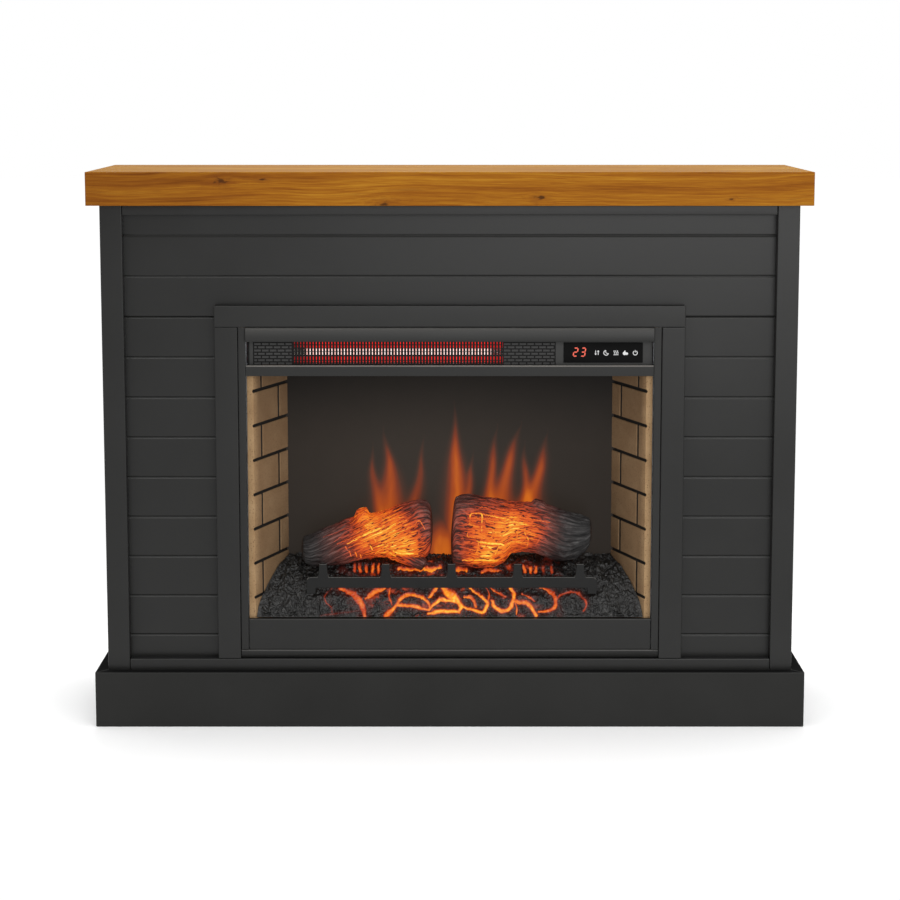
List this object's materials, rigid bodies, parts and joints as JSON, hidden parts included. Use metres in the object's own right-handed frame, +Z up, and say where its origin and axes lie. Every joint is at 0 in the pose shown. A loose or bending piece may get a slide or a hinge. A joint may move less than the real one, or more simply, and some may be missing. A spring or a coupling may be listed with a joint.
{
  "type": "electric fireplace",
  "caption": "Free-standing electric fireplace: painted grooved cabinet with a thick timber shelf round a firebox insert with logs, grate, heater strip and touch panel.",
  "frame": {"origin": "on the floor, under the middle of the whole object's bounding box", "axes": "+X to the right seen from the front, -Y out of the front, +Z up"},
  "size_m": [1.168, 0.305, 0.914],
  "materials": {
    "timber": "satin stained timber, warm honey brown, grain along the shelf",
    "paint": "matt charcoal grey paint on board",
    "raw_board": "uncoated particle board and hardboard",
    "black_steel": "satin charcoal powder coat",
    "galvanised": "plain zinc-coated sheet",
    "brick": "moulded brickwork, tan with dark raked joints",
    "screen": "smoked acrylic that flames are thrown on",
    "iron": "dark grey stove enamel",
    "embers": "translucent moulded coals lit from below",
    "logs": "hand-painted moulded resin logs, lit from inside",
    "black_glass": "polished black touch panel",
    "circuit": "green circuit board",
    "quartz": "glowing quartz heater tube",
    "ceramic": "unglazed ceramic",
    "mirror_metal": "polished aluminium",
    "motor_metal": "zinc-plated steel",
    "rubber": "black rubber"
  },
  "bodies": {
    "fireplace": {"back_panel_left": "raw_board", "back_panel_right": "raw_board", "blower_housing": "galvanised", "blower_motor": "motor_metal", "bottom_fascia": "black_steel", "bottom_rail": "paint", "brick_panel_left": "brick", "brick_panel_right": "brick", "cabinet_floor": "raw_board", "cabinet_top": "raw_board", "chassis_bottom": "galvanised", "chassis_left": "galvanised", "chassis_right": "galvanised", "chassis_top": "galvanised", "control_panel": "black_glass", "cord_gland": "rubber", "divider_left": "raw_board", "divider_right": "raw_board", "ember_bed": "embers", "ember_led_board": "circuit", "firebox_tray": "galvanised", "flame_led_board": "circuit", "flame_screen": "screen", "grate": "iron", "heat_shield": "galvanised", "heater_guard": "black_steel", "heater_sill": "black_steel", "heater_strip_left": "black_steel", "heater_strip_right": "black_steel", "hood": "black_steel", "left_column": "paint", "log_left": "logs", "log_right": "logs", "mantel_shelf": "timber", "plinth_front": "paint", "plinth_left": "paint", "plinth_right": "paint", "power_board": "circuit", "quartz_tube": "quartz", "rear_cover": "galvanised", "reflector": "mirror_metal", "right_column": "paint", "rotor_bearing": "galvanised", "rotor_motor": "motor_metal", "shiplap_left": "paint", "shiplap_right": "paint", "shiplap_upper": "paint", "side_panel_left": "paint", "side_panel_right": "paint", "surround_header": "paint", "surround_left": "paint", "surround_right": "paint", "top_rail": "paint", "trim_bottom": "black_steel", "trim_left": "black_steel", "trim_right": "black_steel", "tube_cap_left": "ceramic", "tube_cap_right": "ceramic"},
    "flame_rotor": {"flame_rotor": "mirror_metal"},
    "blower_wheel": {"blower_wheel": "motor_metal"}
  },
  "joints": [
    {"name": "flame_rotor_spin", "type": "hinge", "parent": "fireplace", "child": "flame_rotor", "pos_m": [0, 0.038, 0.215], "axis": [1, 0, 0], "continuous": true},
    {"name": "blower_wheel_spin", "type": "hinge", "parent": "fireplace", "child": "blower_wheel", "pos_m": [0, -0.04, 0.6275], "axis": [1, 0, 0], "continuous": true}
  ]
}
